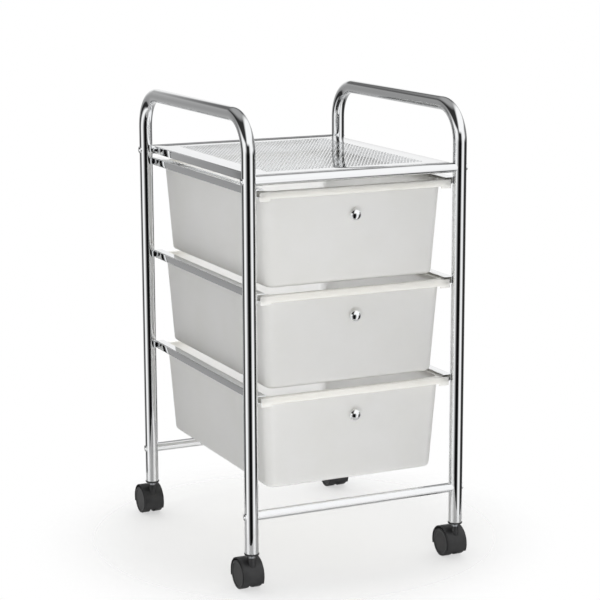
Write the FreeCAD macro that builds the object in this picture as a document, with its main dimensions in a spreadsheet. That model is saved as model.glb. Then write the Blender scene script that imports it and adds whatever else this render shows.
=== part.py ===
import FreeCAD, Part
import Sketcher
import math
import os
import re

# A rolling cart with three drawers, in millimetres. It stands on z = 0, its drawer fronts face -Y,
# and the origin is on the floor under the middle of the cart's bounding box.

SIZES = {
    # Side frames: one bent tube each, an upside-down U whose top is the handle
    "leg_spacing": 314.0,  # across, between the legs' centre lines
    "leg_depth": 374.0,  # front to back, between the legs' centre lines
    "tube_diameter": 19.0,
    "tube_wall": 1.2,
    "leg_bottom": 53.5,  # lower end of the tube above the floor
    "handle_rise": 83.0,  # centre line of the handle above the top bars' centre lines
    "handle_bend": 50.0,  # radius of the bend on the centre line
    # Cross bars, screwed between the two side frames
    "bar_diameter": 13.5,
    "bar_wall": 1.0,
    "top_bar_height": 557.5,
    "bottom_bar_height": 104.5,
    "cope_gap": 0.1,  # between a bar's coped end and the leg
    "insert_length": 16.0,
    "insert_gap": 0.05,  # between an insert and the bar around it
    "insert_setback": 0.5,  # from the leg's inner face to the insert
    # Domed screws through the legs
    "screw_diameter": 5.0,
    "screw_head": 10.0,
    "screw_dome": 2.5,
    "screw_reach": 12.0,  # length of thread inside the insert
    "screw_gap": 0.2,  # around the screw in the tube's walls
    "thread_gap": 0.05,  # around a screw in its tapped hole
    # Shelf: sheet with its four edges turned down
    "shelf_flange": 11.0,
    "shelf_sheet": 1.0,
    "shelf_corner": 4.0,
    "shelf_bend": 2.0,
    "shelf_drop": 0.5,  # top of the sheet below the top of the bars
    "mesh_side": 31.0,  # from the shelf's sides to the openings in it
    "mesh_front": 23.5,
    "mesh_back": 30.5,
    "mesh_rib": 8.5,  # between two openings
    # Channel rails welded to the inside of the legs, open towards the drawers
    "rail_height": 11.0,
    "rail_flange": 12.5,  # width of the top flange and of the bottom one
    "rail_sheet": 1.2,
    "rail_bend": 1.8,
    "rail_overrun": 0.5,  # past the legs' centre lines at each end
    "top_rail_drop": 12.0,  # top of the upper rails below the top bars' centre lines
    "rail_pitch": 138.0,
    # Drawers: tapered trays whose rims slide inside the channels
    "rail_clearance": 1.5,  # between a tray's side and a rail's edge
    "rim_bearing": 7.5,  # width of rim inside a rail
    "slide_gap": 0.2,  # under the rim
    "rim_height": 5.8,
    "rim_thickness": 2.0,
    "lip_thickness": 2.0,
    "tray_end_gap": 5.0,  # from the legs' centre plane to a tray's end wall
    "drawer_gap": 6.8,  # between a tray's foot and the rim below it
    "tray_taper": 8.0,  # drawn in at the foot, on each side
    "tray_wall": 2.0,
    "tray_floor": 2.2,
    "tray_corner": 14.0,  # outside corner radius at the rim
    "foot_corner": 12.0,  # outside corner radius at the foot
    "foot_round": 6.0,
    "band_height": 9.0,  # front band, from the top of the rim
    "band_thickness": 2.3,
    "band_side_gap": 5.0,  # from a leg to the end of the band
    "stop_gap": 0.2,  # between an ear and the rail end that stops it
    "ear_width": 15.0,
    "ear_drop": 3.0,  # below the band
    # Knobs
    "knob_drop": 43.0,  # below the top of the rails
    "knob_diameter": 18.0,
    "knob_neck": 9.5,
    "knob_neck_length": 2.0,
    "knob_skirt": 3.0,  # height of the flare between neck and rim
    "knob_dome": 6.0,
    "knob_screw": 4.0,
    "knob_screw_head": 8.0,
    "knob_screw_cap": 2.4,
    "knob_thread": 8.0,  # length of thread inside the knob
    # Casters: two wheels under one hood, on a stem that turns in a socket
    "wheel_diameter": 40.0,
    "caster_width": 30.0,
    "caster_trail": 15.0,  # from the stem back to the axle
    "web_thickness": 6.0,
    "wheel_side_gap": 0.4,  # between a wheel and the web
    "wheel_proud": 0.3,  # wheel's face outside the hood's edge
    "tread_gap": 2.2,  # between the tread and the hood
    "hood_wall": 1.6,
    "hood_back": 18.0,  # degrees below level, where the hood ends behind
    "hood_front": 27.5,  # degrees below level, where it ends in front
    "hub_diameter": 12.0,
    "rim_depth": 3.5,  # thickness of the wheel's rim
    "disc_thickness": 2.6,
    "dish_depth": 0.8,
    "tread_chamfer": 1.0,
    "axle_diameter": 5.0,
    "axle_gap": 0.05,  # around the axle in the wheels
    "axle_end_gap": 0.3,
    "axle_cover": 2.0,  # wheel left over the end of the axle
    "pin_seat": 0.02,  # around a pin pressed into the hood
    "boss_diameter": 10.5,
    "boss_edge": 0.5,
    "stem_diameter": 7.0,
    "stem_floor": 1.2,  # hood left between the stem and the wheels
    "stem_gap": 0.05,  # around the stem in its socket
    "stem_edge": 1.0,
    "stem_headroom": 2.0,  # socket above the stem
    "shoulder_diameter": 8.5,  # of the stem's shoulder, which stands on the boss
    "shoulder_height": 4.2,
    "swivel_gap": 0.3,  # between the shoulder and the collar
    "collar_height": 2.7,
    "collar_diameter": 20.5,
    "collar_edge": 1.0,
    "socket_depth": 34.0,
    "socket_gap": 0.05,  # between the socket and the tube around it
}

doc = FreeCAD.newDocument("rolling_cart")
sheet = doc.addObject("Spreadsheet::Sheet", "Sizes")
for row, (name, size) in enumerate(SIZES.items(), start=1):
    sheet.set(f"A{row}", name)
    sheet.set(f"B{row}", str(size))
    sheet.setAlias(f"B{row}", name)
doc.recompute()

pieces = []

# Lengths worked out from the sizes
LEG_X = "(leg_spacing / 2)"
LEG_Y = "(leg_depth / 2)"
LEG_FACE = "((leg_spacing - tube_diameter) / 2)"
HANDLE_HEIGHT = "(top_bar_height + handle_rise)"
WHEEL_RADIUS = "(wheel_diameter / 2)"
WELL_RADIUS = "(wheel_diameter / 2 + tread_gap)"
HOOD_RADIUS = f"({WELL_RADIUS} + hood_wall)"
MIDDLE_Y = f"((collar_diameter / 2 - caster_trail - {HOOD_RADIUS}) / 2)"
RAIL_END = f"({LEG_Y} + rail_overrun)"
TOP_RAIL_HEIGHT = "(top_bar_height - top_rail_drop)"
TRAY_X = f"({LEG_FACE} - rail_flange - rail_clearance)"
TRAY_Y = f"({LEG_Y} - tray_end_gap)"
TRAY_HEIGHT = "(rail_pitch - drawer_gap)"
RIM_FOOT = "(rail_sheet + slide_gap - rail_height)"
RIM_TOP = f"({RIM_FOOT} + rim_height)"
RIM_OVERHANG = "(rail_clearance + rim_bearing)"
RIM_END = f"({RAIL_END} + stop_gap + band_thickness)"
BOSS_TOP = "(leg_bottom - collar_height - swivel_gap - shoulder_height)"
STEM_FOOT = (
    f"({WHEEL_RADIUS} + stem_floor"
    f" + sqrt({WELL_RADIUS} ^ 2 - (caster_trail - stem_diameter / 2) ^ 2))"
)
DRAFT = f"atan(tray_taper / {TRAY_HEIGHT})"


def sized(expression):
    """The expression with each size name pointed at its cell in the sheet."""
    return re.sub(r"[a-z_]+", lambda word: f"Sizes.{word[0]}" if word[0] in SIZES else word[0], expression)


def value(expression):
    """The number that an expression of sizes gives now."""
    result = sheet.evalExpression(sized(expression))
    return float(getattr(result, "Value", result))


def new_body(label):
    body = doc.addObject("PartDesign::Body", label)
    body.Label = label
    pieces.append(body)
    return body


def place(piece, x, y, z, axis=None, angle="0 deg"):
    """Tie a piece's position to the sheet, and its turn about one axis."""
    if axis:
        piece.Placement = FreeCAD.Placement(FreeCAD.Vector(), FreeCAD.Rotation(axis, 1))
        piece.setExpression("Placement.Rotation.Angle", sized(angle))
    for coordinate, expression in zip("xyz", (x, y, z)):
        piece.setExpression(f"Placement.Base.{coordinate}", sized(expression))


def new_sketch(body, role, name, lift="0"):
    """A sketch on one of the body's own planes, lifted along the plane's normal."""
    sketch = body.newObject("Sketcher::SketchObject", f"{body.Name}_{name}")
    plane = next(feature for feature in body.Origin.OriginFeatures if feature.Role == role)
    sketch.AttachmentSupport = (plane, "")
    sketch.MapMode = "FlatFace"
    sketch.setExpression("AttachmentOffset.Base.z", sized(lift))
    return sketch


def constrain(sketch, expression, kind, *where):
    """Add a dimension to a sketch and tie it to the sheet."""
    index = sketch.addConstraint(Sketcher.Constraint(kind, *where, value(expression)))
    sketch.setExpression(f"Constraints[{index}]", sized(expression))


def pin(sketch, geometry, end, x, y):
    """Tie one point of a sketch to its two coordinates."""
    constrain(sketch, x, "DistanceX", -1, 1, geometry, end)
    constrain(sketch, y, "DistanceY", -1, 1, geometry, end)


def circle(sketch, x, y, radius):
    centre = FreeCAD.Vector(value(x), value(y), 0)
    geometry = sketch.addGeometry(Part.Circle(centre, FreeCAD.Vector(0, 0, 1), value(radius)), False)
    constrain(sketch, radius, "Radius", geometry)
    pin(sketch, geometry, 3, x, y)


def arc_between(start, end, radius, turn):
    """The smaller arc from start to end, turning left (1) or right (-1)."""
    half = (end - start) * 0.5
    height = math.sqrt(max(radius ** 2 - half.Length ** 2, 0.0))
    left = FreeCAD.Vector(-half.y, half.x, 0).normalize()
    centre = start + half + left * (height * turn)
    first, last = (start, end) if turn > 0 else (end, start)
    angles = [math.atan2(point.y - centre.y, point.x - centre.x) for point in (first, last)]
    return Part.ArcOfCircle(Part.Circle(centre, FreeCAD.Vector(0, 0, 1), radius), *angles)


def outline(sketch, path, closed=True):
    """Lines and arcs through the points of a path.

    A point is (x, y), reached by a line, or (x, y, radius, turn), reached by an arc.
    """
    corners = [FreeCAD.Vector(value(point[0]), value(point[1]), 0) for point in path]
    ends = []
    for number in range(0 if closed else 1, len(path)):
        start, end, point = corners[number - 1], corners[number], path[number]
        if len(point) == 2:
            geometry = sketch.addGeometry(Part.LineSegment(start, end), False)
            ends.append((geometry, 1, 2))
        else:
            geometry = sketch.addGeometry(arc_between(start, end, value(point[2]), point[3]), False)
            ends.append((geometry, 1, 2) if point[3] > 0 else (geometry, 2, 1))
            constrain(sketch, point[2], "Radius", geometry)
        pin(sketch, geometry, ends[-1][2], point[0], point[1])
    if not closed:
        pin(sketch, ends[0][0], ends[0][1], path[0][0], path[0][1])
    for number in range(0 if closed else 1, len(ends)):
        before, after = ends[number - 1], ends[number]
        sketch.addConstraint(Sketcher.Constraint("Coincident", before[0], before[2], after[0], after[1]))


def rounded_rectangle(sketch, half_x, half_y, radius):
    """A rectangle about the sketch's origin, with round corners."""
    near_x = f"({half_x} - {radius})"
    near_y = f"({half_y} - {radius})"
    outline(sketch, [
        (near_x, f"-{half_y}"),
        (half_x, f"-{near_y}", radius, 1),
        (half_x, near_y),
        (near_x, half_y, radius, 1),
        (f"-{near_x}", half_y),
        (f"-{half_x}", near_y, radius, 1),
        (f"-{half_x}", f"-{near_y}"),
        (f"-{near_x}", f"-{half_y}", radius, 1),
    ])


def extrude(body, sketch, name, length, both_ways=False, backwards=False):
    pad = body.newObject("PartDesign::Pad", f"{body.Name}_{name}")
    pad.Profile = sketch
    pad.SideType = "Symmetric" if both_ways else "One side"
    pad.Reversed = backwards
    pad.setExpression("Length", sized(length))
    doc.recompute()
    return pad


def cut(body, sketch, name, length=None, backwards=False):
    """Cut a sketch out of the body: to a depth, or right through both ways."""
    before = body.Shape.Volume
    pocket = body.newObject("PartDesign::Pocket", f"{body.Name}_{name}")
    pocket.Profile = sketch
    pocket.Reversed = backwards
    if length:
        pocket.setExpression("Length", sized(length))
    else:
        pocket.Type = "ThroughAll"
        pocket.SideType = "Symmetric"
    doc.recompute()
    if not body.Shape.Volume < before:
        raise RuntimeError(f"{body.Label}: {name} cut nothing")
    return pocket


def revolve(body, sketch, name, axis):
    revolution = body.newObject("PartDesign::Revolution", f"{body.Name}_{name}")
    revolution.Profile = sketch
    revolution.ReferenceAxis = (sketch, [axis])
    revolution.Angle = 360
    doc.recompute()
    return revolution


def loft(body, kind, name, sketches):
    shape = body.newObject(f"PartDesign::{kind}Loft", f"{body.Name}_{name}")
    shape.Profile = sketches[0]
    shape.Sections = sketches[1:]
    shape.Ruled = True
    doc.recompute()
    return shape


def round_edges(body, base, name, radius, chosen):
    """Round the edges of a feature whose ends and middles are all chosen."""
    names = []
    for number, edge in enumerate(base.Shape.Edges, start=1):
        middle = edge.valueAt((edge.FirstParameter + edge.LastParameter) / 2)
        if all(chosen(point) for point in [middle] + [vertex.Point for vertex in edge.Vertexes]):
            names.append(f"Edge{number}")
    fillet = body.newObject("PartDesign::Fillet", f"{body.Name}_{name}")
    fillet.Base = (base, names)
    fillet.setExpression("Radius", sized(radius))
    doc.recompute()
    return fillet


def side_frame(label, side):
    """Chromed tube: front leg, handle and back leg in one bent length."""
    body = new_body(label)
    section = new_sketch(body, "XY_Plane", "section", "leg_bottom")
    circle(section, "0", f"-{LEG_Y}", "tube_diameter / 2")
    circle(section, "0", f"-{LEG_Y}", "tube_diameter / 2 - tube_wall")
    path = new_sketch(body, "YZ_Plane", "path")
    outline(path, [
        (f"-{LEG_Y}", "leg_bottom"),
        (f"-{LEG_Y}", f"{HANDLE_HEIGHT} - handle_bend"),
        (f"handle_bend - {LEG_Y}", HANDLE_HEIGHT, "handle_bend", -1),
        (f"{LEG_Y} - handle_bend", HANDLE_HEIGHT),
        (LEG_Y, f"{HANDLE_HEIGHT} - handle_bend", "handle_bend", -1),
        (LEG_Y, "leg_bottom"),
    ], closed=False)
    doc.recompute()
    tube = body.newObject("PartDesign::AdditivePipe", f"{label}_tube")
    tube.Profile = (section, [""])
    tube.Spine = (path, [f"Edge{number}" for number in range(1, 6)])
    doc.recompute()
    holes = new_sketch(body, "YZ_Plane", "holes")
    for leg in (f"-{LEG_Y}", LEG_Y):
        for height in ("top_bar_height", "bottom_bar_height"):
            circle(holes, leg, height, "screw_diameter / 2 + screw_gap")
    cut(body, holes, "screw_holes")
    place(body, f"{side} * {LEG_X}", MIDDLE_Y, "0")


def cross_bar(label, end, height):
    """Chromed tube between the side frames, its ends coped to fit the legs."""
    body = new_body(label)
    section = new_sketch(body, "YZ_Plane", "section")
    circle(section, "0", "0", "bar_diameter / 2")
    circle(section, "0", "0", "bar_diameter / 2 - bar_wall")
    extrude(body, section, "tube", "leg_spacing", both_ways=True)
    copes = new_sketch(body, "XY_Plane", "copes")
    for leg in (f"-{LEG_X}", LEG_X):
        circle(copes, leg, "0", "tube_diameter / 2 + cope_gap")
    cut(body, copes, "coped_ends")
    place(body, "0", f"{MIDDLE_Y} + {end} * {LEG_Y}", height)


def fastener_group(label, solid):
    """Eight copies of a solid that lies along +X, one at each end of each bar."""
    copies = []
    for height in ("top_bar_height", "bottom_bar_height"):
        for end in (-1, 1):
            for turn in (0, 180):
                copy = solid.copy()
                copy.rotate(FreeCAD.Vector(), FreeCAD.Vector(0, 0, 1), turn)
                copy.translate(FreeCAD.Vector(0, end * value(LEG_Y), value(height)))
                copies.append(copy)
    group = doc.addObject("Part::Feature", label)
    group.Shape = Part.makeCompound(copies)
    group.Placement = FreeCAD.Placement(FreeCAD.Vector(0, value(MIDDLE_Y), 0), FreeCAD.Rotation())
    pieces.append(group)


def bar_inserts():
    """Steel plugs in the ends of the bars, tapped for the screws."""
    along = FreeCAD.Vector(1, 0, 0)
    length = value("insert_length")
    start = FreeCAD.Vector(value(f"{LEG_FACE} - insert_setback") - length, 0, 0)
    plug = Part.makeCylinder(value("bar_diameter / 2 - bar_wall - insert_gap"), length, start, along)
    bore = Part.makeCylinder(value("screw_diameter / 2 + thread_gap"), length, start, along)
    fastener_group("bar_inserts", plug.cut(bore))


def frame_screws():
    """Domed screws, each through a leg into the insert behind it."""
    along = FreeCAD.Vector(1, 0, 0)
    seat = value(f"{LEG_X} + tube_diameter / 2")
    tip = value(f"{LEG_FACE} - insert_setback - screw_reach")
    shank = Part.makeCylinder(value("screw_diameter / 2"), seat - tip, FreeCAD.Vector(tip, 0, 0), along)
    radius = value("screw_head / 2")
    dome = value("screw_dome")
    ball = (radius ** 2 + dome ** 2) / (2 * dome)
    sphere = Part.makeSphere(ball, FreeCAD.Vector(seat + dome - ball, 0, 0), along)
    cap = sphere.common(Part.makeCylinder(radius, dome, FreeCAD.Vector(seat, 0, 0), along))
    fastener_group("frame_screws", shank.fuse(cap).removeSplitter())


MESH_COLUMNS = 12
MESH_ROWS = 16


def shelf_mesh(body, half_x, half_y):
    """Plain grid of openings that stands for the sheet's fine round holes."""
    width = f"((2 * ({half_x} - mesh_side) + mesh_rib) / {MESH_COLUMNS} - mesh_rib)"
    depth = f"((2 * {half_y} - mesh_front - mesh_back + mesh_rib) / {MESH_ROWS} - mesh_rib)"
    left = f"(mesh_side - {half_x})"
    front = f"(mesh_front - {half_y})"
    opening = new_sketch(body, "XY_Plane", "opening")
    outline(opening, [
        (left, front),
        (f"{left} + {width}", front),
        (f"{left} + {width}", f"{front} + {depth}"),
        (left, f"{front} + {depth}"),
    ])
    first = cut(body, opening, "first_opening")
    grid = doc.addObject("PartDesign::LinearPattern", f"{body.Name}_openings")
    grid.Originals = [first]
    body.addObject(grid)
    grid.Direction = (opening, ["H_Axis"])
    grid.Direction2 = (opening, ["V_Axis"])
    grid.Occurrences = MESH_COLUMNS
    grid.Occurrences2 = MESH_ROWS
    grid.setExpression("Length", sized(f"({width} + mesh_rib) * {MESH_COLUMNS - 1}"))
    grid.setExpression("Length2", sized(f"({depth} + mesh_rib) * {MESH_ROWS - 1}"))
    one = body.Shape.Volume
    doc.recompute()
    if not body.Shape.Volume < one:
        raise RuntimeError(f"{body.Label}: the openings weren't repeated")


def top_shelf():
    """Sheet with its edges turned down, welded between the top bars."""
    body = new_body("top_shelf")
    half_y = f"({LEG_Y} - bar_diameter / 2)"
    edge = new_sketch(body, "XY_Plane", "edge")
    rounded_rectangle(edge, LEG_FACE, half_y, "shelf_corner")
    block = extrude(body, edge, "block", "shelf_flange")
    height = value("shelf_flange")
    round_edges(body, block, "bend", "shelf_bend", lambda point: abs(point.z - height) < 0.01)
    inside = new_sketch(body, "XY_Plane", "inside")
    inner = [f"({size} - shelf_sheet)" for size in (LEG_FACE, half_y, "shelf_corner")]
    rounded_rectangle(inside, *inner)
    hollow = cut(body, inside, "hollow", "shelf_flange - shelf_sheet", backwards=True)
    depth = value("shelf_flange - shelf_sheet")
    round_edges(
        body, hollow, "inner_bend", "shelf_bend - shelf_sheet", lambda point: abs(point.z - depth) < 0.01
    )
    shelf_mesh(body, LEG_FACE, half_y)
    place(body, "0", MIDDLE_Y, "top_bar_height + bar_diameter / 2 - shelf_drop - shelf_flange")


def drawer_rail(label, side, level):
    """Channel on the inside of two legs, bent from sheet; the drawer's rim runs inside it."""
    body = new_body(label)
    inner_bend = "rail_bend - rail_sheet"
    section = new_sketch(body, "XZ_Plane", "section")
    outline(section, [
        ("rail_bend", "-rail_height", "rail_bend", 1),
        ("rail_flange", "-rail_height"),
        ("rail_flange", "rail_sheet - rail_height"),
        ("rail_bend", "rail_sheet - rail_height"),
        ("rail_sheet", "rail_bend - rail_height", inner_bend, -1),
        ("rail_sheet", "-rail_bend"),
        ("rail_bend", "-rail_sheet", inner_bend, -1),
        ("rail_flange", "-rail_sheet"),
        ("rail_flange", "0"),
        ("rail_bend", "0"),
        ("0", "-rail_bend", "rail_bend", 1),
        ("0", "rail_bend - rail_height"),
    ])
    extrude(body, section, "channel", f"2 * {RAIL_END}", both_ways=True)
    turn = "0 deg" if side < 0 else "180 deg"
    height = f"{TOP_RAIL_HEIGHT} - {level} * rail_pitch"
    place(body, f"{side} * {LEG_FACE}", MIDDLE_Y, height, FreeCAD.Vector(0, 0, 1), turn)


def drawer_tray(label, level):
    """Moulded tray, drawn in towards its foot, that hangs by its rim in two rails."""
    body = new_body(label)
    foot = f"({RIM_TOP} - {TRAY_HEIGHT})"
    inner_taper = f"(tray_taper * (1 - tray_floor / {TRAY_HEIGHT}) + tray_wall)"
    sections = [
        ("outer_foot", foot, "tray_taper", "foot_corner"),
        ("outer_top", RIM_TOP, "0", "tray_corner"),
        ("inner_foot", f"{foot} + tray_floor", inner_taper, "(foot_corner - tray_wall)"),
        ("inner_top", RIM_TOP, "tray_wall", "(tray_corner - tray_wall)"),
    ]
    sketches = []
    for name, lift, inset, corner in sections:
        sketch = new_sketch(body, "XY_Plane", name, lift)
        rounded_rectangle(sketch, f"({TRAY_X} - {inset})", f"({TRAY_Y} - {inset})", corner)
        sketches.append(sketch)
    loft(body, "Additive", "outside", sketches[:2])
    inside = loft(body, "Subtractive", "inside", sketches[2:])
    foot_level = value(foot)
    floor_level = value(f"{foot} + tray_floor")
    rounded = round_edges(body, inside, "foot", "foot_round", lambda point: abs(point.z - foot_level) < 0.01)
    round_edges(
        body, rounded, "inner_foot", "foot_round - tray_wall", lambda point: abs(point.z - floor_level) < 0.01
    )
    rim = new_sketch(body, "XY_Plane", "rim", f"{RIM_TOP} - rim_thickness")
    rim_sizes = [f"({TRAY_X} + {RIM_OVERHANG})", RIM_END, f"(tray_corner + {RIM_OVERHANG})"]
    rounded_rectangle(rim, *rim_sizes)
    rounded_rectangle(rim, *[f"({size} - tray_wall)" for size in (TRAY_X, TRAY_Y, "tray_corner")])
    extrude(body, rim, "rim", "rim_thickness")
    lip = new_sketch(body, "XY_Plane", "lip", RIM_FOOT)
    rounded_rectangle(lip, *rim_sizes)
    rounded_rectangle(lip, *[f"({size} - lip_thickness)" for size in rim_sizes])
    extrude(body, lip, "lip", "rim_height")
    front_band(body)
    knob_hole(body)
    place(body, "0", MIDDLE_Y, f"{TOP_RAIL_HEIGHT} - {level} * rail_pitch")


def front_band(body):
    """Upright band along the front of the rim; its ears close against the rails' ends."""
    end = f"({LEG_FACE} - band_side_gap)"
    bottom = f"({RIM_TOP} - band_height)"
    band = new_sketch(body, "XZ_Plane", "band", f"{RAIL_END} + stop_gap")
    outline(band, [
        (f"-{end}", f"{bottom} - ear_drop"),
        (f"ear_width - {end}", f"{bottom} - ear_drop"),
        (f"ear_width - {end}", bottom),
        (f"{end} - ear_width", bottom),
        (f"{end} - ear_width", f"{bottom} - ear_drop"),
        (end, f"{bottom} - ear_drop"),
        (end, RIM_TOP),
        (f"-{end}", RIM_TOP),
    ])
    extrude(body, band, "band", "band_thickness")


def knob_point():
    """Where a knob meets the front of its tray: y and z from the middle of the rails' tops."""
    return f"(tray_taper * ({RIM_TOP} + knob_drop) / {TRAY_HEIGHT} - {TRAY_Y})", "(-knob_drop)"


def knob_hole(body):
    """Hole for the knob's screw, square to the sloping front wall."""
    before = body.Shape.Volume
    front, height = knob_point()
    hole = body.newObject("PartDesign::SubtractiveCylinder", f"{body.Name}_knob_hole")
    hole.setExpression("Radius", sized("knob_screw / 2 + screw_gap"))
    hole.setExpression("Height", sized("4 * tray_wall"))
    inward = f"2 * tray_wall * cos({DRAFT})"
    upward = f"2 * tray_wall * sin({DRAFT})"
    place(
        hole, "0", f"{front} + {inward}", f"{height} + {upward}",
        FreeCAD.Vector(1, 0, 0), f"90 deg + {DRAFT}",
    )
    doc.recompute()
    if not body.Shape.Volume < before:
        raise RuntimeError(f"{body.Label}: the knob's hole cut nothing")


def place_on_front(piece, level):
    front, height = knob_point()
    up = f"{TOP_RAIL_HEIGHT} - {level} * rail_pitch + {height}"
    place(piece, "0", f"{MIDDLE_Y} + {front}", up, FreeCAD.Vector(1, 0, 0), f"90 deg + {DRAFT}")


def drawer_knob(label, level):
    """Chromed dome on a short neck, tapped for a screw from behind."""
    body = new_body(label)
    shoulder = "(knob_neck_length + knob_skirt)"
    tip = f"({shoulder} + knob_dome)"
    section = new_sketch(body, "XZ_Plane", "section")
    outline(section, [
        ("knob_screw / 2 + thread_gap", "0"),
        ("knob_neck / 2", "0"),
        ("knob_neck / 2", "knob_neck_length"),
        ("knob_diameter / 2", shoulder, "knob_skirt + knob_diameter / 2 - knob_neck / 2", 1),
        ("0", tip, "((knob_diameter / 2) ^ 2 + knob_dome ^ 2) / (2 * knob_dome)", 1),
        ("0", "knob_thread"),
        ("knob_screw / 2 + thread_gap", "knob_thread"),
    ])
    revolve(body, section, "turned", "V_Axis")
    place_on_front(body, level)


def knob_screw(label, level):
    """Screw from inside the tray, through its front wall into the knob."""
    body = new_body(label)
    section = new_sketch(body, "XZ_Plane", "section")
    outline(section, [
        ("0", "-tray_wall - knob_screw_cap"),
        ("knob_screw_head / 3", "-tray_wall - knob_screw_cap"),
        ("knob_screw_head / 2", "-tray_wall - knob_screw_cap / 2"),
        ("knob_screw_head / 2", "-tray_wall"),
        ("knob_screw / 2", "-tray_wall"),
        ("knob_screw / 2", "knob_thread - knob_screw / 4"),
        ("0", "knob_thread - knob_screw / 4"),
    ])
    revolve(body, section, "turned", "V_Axis")
    place_on_front(body, level)


def caster_socket(label, x, y):
    """Plastic plug in the end of a leg, with a collar that the tube stands on."""
    body = new_body(label)
    bore = "stem_diameter / 2 + stem_gap"
    plug = "tube_diameter / 2 - tube_wall - socket_gap"
    section = new_sketch(body, "XZ_Plane", "section")
    outline(section, [
        (bore, "-collar_height"),
        ("collar_diameter / 2 - collar_edge", "-collar_height"),
        ("collar_diameter / 2", "collar_edge - collar_height", "collar_edge", 1),
        ("collar_diameter / 2", "0"),
        (plug, "0"),
        (plug, "socket_depth - collar_edge"),
        (f"{plug} - collar_edge", "socket_depth"),
        (bore, "socket_depth"),
    ])
    revolve(body, section, "turned", "V_Axis")
    place(body, x, y, "leg_bottom")


def caster_stem(label, x, y):
    """Steel stem, fixed in the hood and free to turn in the socket above its shoulder."""
    body = new_body(label)
    top = f"(leg_bottom + socket_depth - stem_headroom - {STEM_FOOT})"
    shoulder_foot = f"({BOSS_TOP} - {STEM_FOOT})"
    shoulder_top = f"({shoulder_foot} + shoulder_height)"
    section = new_sketch(body, "XZ_Plane", "section")
    outline(section, [
        ("0", "0"),
        ("stem_diameter / 2", "0"),
        ("stem_diameter / 2", shoulder_foot),
        ("shoulder_diameter / 2", shoulder_foot),
        ("shoulder_diameter / 2", shoulder_top),
        ("stem_diameter / 2", shoulder_top),
        ("stem_diameter / 2", f"{top} - stem_edge"),
        ("stem_diameter / 2 - stem_edge", top),
        ("0", top),
    ])
    revolve(body, section, "turned", "V_Axis")
    place(body, x, y, STEM_FOOT)


def caster_hood(label, x, y):
    """Moulded hood over both wheels, with the stem's boss in front and a web for the axle."""
    body = new_body(label)
    axle = ("caster_trail", WHEEL_RADIUS)
    side = new_sketch(body, "YZ_Plane", "side")
    outline(side, [
        axle,
        (
            f"caster_trail + {HOOD_RADIUS} * cos(hood_back)",
            f"{WHEEL_RADIUS} - {HOOD_RADIUS} * sin(hood_back)",
        ),
        ("caster_trail", f"{WHEEL_RADIUS} + {HOOD_RADIUS}", HOOD_RADIUS, 1),
        (
            f"caster_trail - {HOOD_RADIUS} * cos(hood_front)",
            f"{WHEEL_RADIUS} - {HOOD_RADIUS} * sin(hood_front)",
            HOOD_RADIUS,
            1,
        ),
    ])
    extrude(body, side, "dome", "caster_width", both_ways=True)
    boss = new_sketch(body, "XZ_Plane", "boss")
    outline(boss, [
        ("0", WHEEL_RADIUS),
        ("boss_diameter / 2", WHEEL_RADIUS),
        ("boss_diameter / 2", f"{BOSS_TOP} - boss_edge"),
        ("boss_diameter / 2 - boss_edge", BOSS_TOP),
        ("0", BOSS_TOP),
    ])
    revolve(body, boss, "boss", "V_Axis")
    for name, web_side, backwards in (("right", 1, True), ("left", -1, False)):
        well = new_sketch(body, "YZ_Plane", f"{name}_well", f"{web_side} * web_thickness / 2")
        circle(well, *axle, WELL_RADIUS)
        cut(body, well, f"{name}_wheel_well", "caster_width", backwards)
    hub = new_sketch(body, "YZ_Plane", "hub")
    circle(hub, *axle, "hub_diameter / 2")
    extrude(body, hub, "hub", "web_thickness", both_ways=True)
    axle_hole = new_sketch(body, "YZ_Plane", "axle_hole")
    circle(axle_hole, *axle, "axle_diameter / 2 + pin_seat")
    cut(body, axle_hole, "axle_hole")
    stem_hole = new_sketch(body, "XY_Plane", "stem_hole", BOSS_TOP)
    circle(stem_hole, "0", "0", "stem_diameter / 2 + pin_seat")
    cut(body, stem_hole, "stem_hole", f"{BOSS_TOP} - {STEM_FOOT}")
    place(body, x, y, "0")


def caster_axle(label, x, y):
    """Steel pin through the hood's web, one wheel on each end."""
    half = "(caster_width / 2 + wheel_proud - dish_depth - axle_cover - axle_end_gap)"
    axle = doc.addObject("Part::Cylinder", label)
    axle.Label = label
    axle.setExpression("Radius", sized("axle_diameter / 2"))
    axle.setExpression("Height", sized(f"2 * {half}"))
    place(
        axle, f"{x} - {half}", f"{y} + caster_trail", WHEEL_RADIUS, FreeCAD.Vector(0, 1, 0), "90 deg"
    )
    pieces.append(axle)


def caster_wheel(label, x, y, turn):
    """Moulded wheel: rim, dished outer disc and a blind hub, open on the side of the web."""
    body = new_body(label)
    inner = "(web_thickness / 2 + wheel_side_gap)"
    outer = "(caster_width / 2 + wheel_proud)"
    dish = f"({outer} - dish_depth)"
    bore = "axle_diameter / 2 + axle_gap"
    rim = f"({WHEEL_RADIUS} - rim_depth)"
    section = new_sketch(body, "XZ_Plane", "section")
    outline(section, [
        (inner, bore),
        (inner, "hub_diameter / 2"),
        (f"{dish} - disc_thickness", "hub_diameter / 2"),
        (f"{dish} - disc_thickness", rim),
        (inner, rim),
        (inner, WHEEL_RADIUS),
        (f"{outer} - tread_chamfer", WHEEL_RADIUS),
        (outer, f"{WHEEL_RADIUS} - tread_chamfer"),
        (outer, rim),
        (dish, f"{rim} - dish_depth"),
        (dish, "0"),
        (f"{dish} - axle_cover", "0"),
        (f"{dish} - axle_cover", bore),
    ])
    revolve(body, section, "turned", "H_Axis")
    place(body, x, f"{y} + caster_trail", WHEEL_RADIUS, FreeCAD.Vector(0, 0, 1), turn)


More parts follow.
